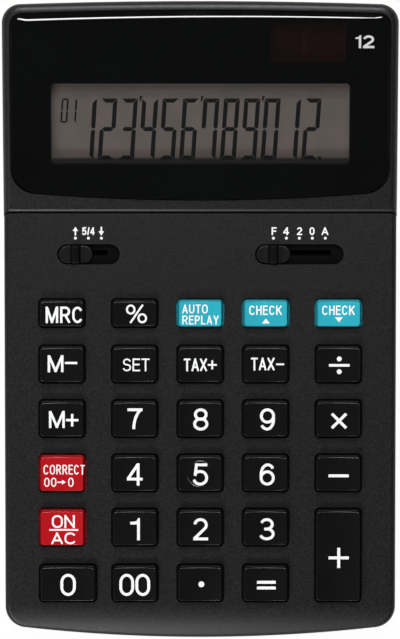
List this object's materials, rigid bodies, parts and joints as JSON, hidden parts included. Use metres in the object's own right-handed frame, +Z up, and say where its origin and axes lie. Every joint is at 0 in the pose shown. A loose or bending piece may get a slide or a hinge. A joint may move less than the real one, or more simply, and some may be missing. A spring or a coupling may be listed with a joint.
{
  "type": "desktop calculator",
  "caption": "Desktop calculator with a keyboard, two slide switches and a display head that tilts up on a rear hinge.",
  "frame": {"origin": "bottom centre of the whole, on the surface that the feet stand on", "axes": "+X to the user's right, +Y from the user towards the display head, +Z up"},
  "size_m": [0.12, 0.194, 0.0305],
  "materials": {
    "case_plastic": "fine satin moulded black",
    "head_plastic": "fine satin moulded black",
    "key_black": "smooth semi gloss black",
    "key_red": "smooth semi gloss red",
    "key_teal": "smooth semi gloss light blue",
    "knob_black": "smooth black",
    "lens_clear": "polished clear acrylic",
    "lens_mask": "black print under the lens",
    "lcd_glass": "grey brown display glass",
    "lcd_ink": "dark display segments",
    "solar_glass": "dark red brown cell",
    "ink_white": "white printed marks",
    "ink_grey": "grey printed marks",
    "foot_rubber": "soft black",
    "zinc_steel": "bright zinc",
    "steel": "ground steel",
    "washer_nylon": "natural nylon",
    "nickel": "nickel plate",
    "board_green": "green laminate",
    "silicone_grey": "translucent grey silicone",
    "lead_sleeve": "red lead sleeve",
    "ribbon_film": "amber film",
    "tape_black": "black foam tape",
    "connector_rubber": "striped rubber",
    "resin_black": "black potting resin",
    "component_metal": "small cans"
  },
  "bodies": {
    "base": {"upper_case": "case_plastic", "lower_case": "case_plastic", "rubber_feet": "foot_rubber", "case_screws": "zinc_steel", "board_screws": "zinc_steel", "main_board": "board_green", "keypad_membrane": "silicone_grey", "battery_cell": "nickel", "battery_contact_negative": "nickel", "battery_contact_positive": "nickel", "battery_leads": "lead_sleeve", "hinge_pins": "steel", "hinge_washers": "washer_nylon", "hinge_ribbon": "ribbon_film"},
    "head": {"head_frame": "head_plastic", "head_rear_cover": "head_plastic", "head_screws": "zinc_steel", "display_lens": "lens_clear", "lens_tape": "tape_black", "lcd_panel": "lcd_glass", "elastomer_connector": "connector_rubber", "display_board": "board_green", "controller_drop": "resin_black", "board_components": "component_metal", "solar_cell": "solar_glass", "solar_leads": "lead_sleeve"},
    "rounding_switch": {"rounding_switch_knob": "knob_black", "rounding_switch_wiper": "nickel"},
    "decimal_switch": {"decimal_switch_knob": "knob_black", "decimal_switch_wiper": "nickel"},
    "battery_door": {"battery_door": "case_plastic"},
    "key_auto_replay": {"key_auto_replay": "key_teal"},
    "key_check_down": {"key_check_down": "key_teal"},
    "key_check_up": {"key_check_up": "key_teal"},
    "key_correct": {"key_correct": "key_red"},
    "key_divide": {"key_divide": "key_black"},
    "key_double_zero": {"key_double_zero": "key_black"},
    "key_eight": {"key_eight": "key_black"},
    "key_equals": {"key_equals": "key_black"},
    "key_five": {"key_five": "key_black"},
    "key_four": {"key_four": "key_black"},
    "key_memory_minus": {"key_memory_minus": "key_black"},
    "key_memory_plus": {"key_memory_plus": "key_black"},
    "key_memory_recall": {"key_memory_recall": "key_black"},
    "key_minus": {"key_minus": "key_black"},
    "key_multiply": {"key_multiply": "key_black"},
    "key_nine": {"key_nine": "key_black"},
    "key_on_clear": {"key_on_clear": "key_red"},
    "key_one": {"key_one": "key_black"},
    "key_percent": {"key_percent": "key_black"},
    "key_plus": {"key_plus": "key_black"},
    "key_point": {"key_point": "key_black"},
    "key_set": {"key_set": "key_black"},
    "key_seven": {"key_seven": "key_black"},
    "key_six": {"key_six": "key_black"},
    "key_tax_minus": {"key_tax_minus": "key_black"},
    "key_tax_plus": {"key_tax_plus": "key_black"},
    "key_three": {"key_three": "key_black"},
    "key_two": {"key_two": "key_black"},
    "key_zero": {"key_zero": "key_black"}
  },
  "joints": [
    {"name": "head_tilt", "type": "hinge", "parent": "base", "child": "head", "pos_m": [0, 0.04018, 0.01449], "axis": [1, 0, 0], "range_deg": [0, 40], "deforming": ["hinge_ribbon"]},
    {"name": "rounding_switch_slide", "type": "slide", "parent": "base", "child": "rounding_switch", "axis": [1, 0, 0], "range_m": [0, 0.0079]},
    {"name": "decimal_switch_slide", "type": "slide", "parent": "base", "child": "decimal_switch", "axis": [1, 0, 0], "range_m": [0, 0.0158]},
    {"name": "battery_door_slide", "type": "slide", "parent": "base", "child": "battery_door", "axis": [0, 1, 0], "range_m": [0, 0.027]},
    {"name": "key_auto_replay_press", "type": "slide", "parent": "base", "child": "key_auto_replay", "axis": [0, 0.061, -0.9981], "range_m": [0, 0.0015], "stiffness_N_per_m": 400, "deforming": ["keypad_membrane"]},
    {"name": "key_check_down_press", "type": "slide", "parent": "base", "child": "key_check_down", "axis": [0, 0.061, -0.9981], "range_m": [0, 0.0015], "stiffness_N_per_m": 400, "deforming": ["keypad_membrane"]},
    {"name": "key_check_up_press", "type": "slide", "parent": "base", "child": "key_check_up", "axis": [0, 0.061, -0.9981], "range_m": [0, 0.0015], "stiffness_N_per_m": 400, "deforming": ["keypad_membrane"]},
    {"name": "key_correct_press", "type": "slide", "parent": "base", "child": "key_correct", "axis": [0, 0.061, -0.9981], "range_m": [0, 0.0015], "stiffness_N_per_m": 400, "deforming": ["keypad_membrane"]},
    {"name": "key_divide_press", "type": "slide", "parent": "base", "child": "key_divide", "axis": [0, 0.061, -0.9981], "range_m": [0, 0.0015], "stiffness_N_per_m": 400, "deforming": ["keypad_membrane"]},
    {"name": "key_double_zero_press", "type": "slide", "parent": "base", "child": "key_double_zero", "axis": [0, 0.061, -0.9981], "range_m": [0, 0.0015], "stiffness_N_per_m": 400, "deforming": ["keypad_membrane"]},
    {"name": "key_eight_press", "type": "slide", "parent": "base", "child": "key_eight", "axis": [0, 0.061, -0.9981], "range_m": [0, 0.0015], "stiffness_N_per_m": 400, "deforming": ["keypad_membrane"]},
    {"name": "key_equals_press", "type": "slide", "parent": "base", "child": "key_equals", "axis": [0, 0.061, -0.9981], "range_m": [0, 0.0015], "stiffness_N_per_m": 400, "deforming": ["keypad_membrane"]},
    {"name": "key_five_press", "type": "slide", "parent": "base", "child": "key_five", "axis": [0, 0.061, -0.9981], "range_m": [0, 0.0015], "stiffness_N_per_m": 400, "deforming": ["keypad_membrane"]},
    {"name": "key_four_press", "type": "slide", "parent": "base", "child": "key_four", "axis": [0, 0.061, -0.9981], "range_m": [0, 0.0015], "stiffness_N_per_m": 400, "deforming": ["keypad_membrane"]},
    {"name": "key_memory_minus_press", "type": "slide", "parent": "base", "child": "key_memory_minus", "axis": [0, 0.061, -0.9981], "range_m": [0, 0.0015], "stiffness_N_per_m": 400, "deforming": ["keypad_membrane"]},
    {"name": "key_memory_plus_press", "type": "slide", "parent": "base", "child": "key_memory_plus", "axis": [0, 0.061, -0.9981], "range_m": [0, 0.0015], "stiffness_N_per_m": 400, "deforming": ["keypad_membrane"]},
    {"name": "key_memory_recall_press", "type": "slide", "parent": "base", "child": "key_memory_recall", "axis": [0, 0.061, -0.9981], "range_m": [0, 0.0015], "stiffness_N_per_m": 400, "deforming": ["keypad_membrane"]},
    {"name": "key_minus_press", "type": "slide", "parent": "base", "child": "key_minus", "axis": [0, 0.061, -0.9981], "range_m": [0, 0.0015], "stiffness_N_per_m": 400, "deforming": ["keypad_membrane"]},
    {"name": "key_multiply_press", "type": "slide", "parent": "base", "child": "key_multiply", "axis": [0, 0.061, -0.9981], "range_m": [0, 0.0015], "stiffness_N_per_m": 400, "deforming": ["keypad_membrane"]},
    {"name": "key_nine_press", "type": "slide", "parent": "base", "child": "key_nine", "axis": [0, 0.061, -0.9981], "range_m": [0, 0.0015], "stiffness_N_per_m": 400, "deforming": ["keypad_membrane"]},
    {"name": "key_on_clear_press", "type": "slide", "parent": "base", "child": "key_on_clear", "axis": [0, 0.061, -0.9981], "range_m": [0, 0.0015], "stiffness_N_per_m": 400, "deforming": ["keypad_membrane"]},
    {"name": "key_one_press", "type": "slide", "parent": "base", "child": "key_one", "axis": [0, 0.061, -0.9981], "range_m": [0, 0.0015], "stiffness_N_per_m": 400, "deforming": ["keypad_membrane"]},
    {"name": "key_percent_press", "type": "slide", "parent": "base", "child": "key_percent", "axis": [0, 0.061, -0.9981], "range_m": [0, 0.0015], "stiffness_N_per_m": 400, "deforming": ["keypad_membrane"]},
    {"name": "key_plus_press", "type": "slide", "parent": "base", "child": "key_plus", "axis": [0, 0.061, -0.9981], "range_m": [0, 0.0015], "stiffness_N_per_m": 400, "deforming": ["keypad_membrane"]},
    {"name": "key_point_press", "type": "slide", "parent": "base", "child": "key_point", "axis": [0, 0.061, -0.9981], "range_m": [0, 0.0015], "stiffness_N_per_m": 400, "deforming": ["keypad_membrane"]},
    {"name": "key_set_press", "type": "slide", "parent": "base", "child": "key_set", "axis": [0, 0.061, -0.9981], "range_m": [0, 0.0015], "stiffness_N_per_m": 400, "deforming": ["keypad_membrane"]},
    {"name": "key_seven_press", "type": "slide", "parent": "base", "child": "key_seven", "axis": [0, 0.061, -0.9981], "range_m": [0, 0.0015], "stiffness_N_per_m": 400, "deforming": ["keypad_membrane"]},
    {"name": "key_six_press", "type": "slide", "parent": "base", "child": "key_six", "axis": [0, 0.061, -0.9981], "range_m": [0, 0.0015], "stiffness_N_per_m": 400, "deforming": ["keypad_membrane"]},
    {"name": "key_tax_minus_press", "type": "slide", "parent": "base", "child": "key_tax_minus", "axis": [0, 0.061, -0.9981], "range_m": [0, 0.0015], "stiffness_N_per_m": 400, "deforming": ["keypad_membrane"]},
    {"name": "key_tax_plus_press", "type": "slide", "parent": "base", "child": "key_tax_plus", "axis": [0, 0.061, -0.9981], "range_m": [0, 0.0015], "stiffness_N_per_m": 400, "deforming": ["keypad_membrane"]},
    {"name": "key_three_press", "type": "slide", "parent": "base", "child": "key_three", "axis": [0, 0.061, -0.9981], "range_m": [0, 0.0015], "stiffness_N_per_m": 400, "deforming": ["keypad_membrane"]},
    {"name": "key_two_press", "type": "slide", "parent": "base", "child": "key_two", "axis": [0, 0.061, -0.9981], "range_m": [0, 0.0015], "stiffness_N_per_m": 400, "deforming": ["keypad_membrane"]},
    {"name": "key_zero_press", "type": "slide", "parent": "base", "child": "key_zero", "axis": [0, 0.061, -0.9981], "range_m": [0, 0.0015], "stiffness_N_per_m": 400, "deforming": ["keypad_membrane"]}
  ]
}
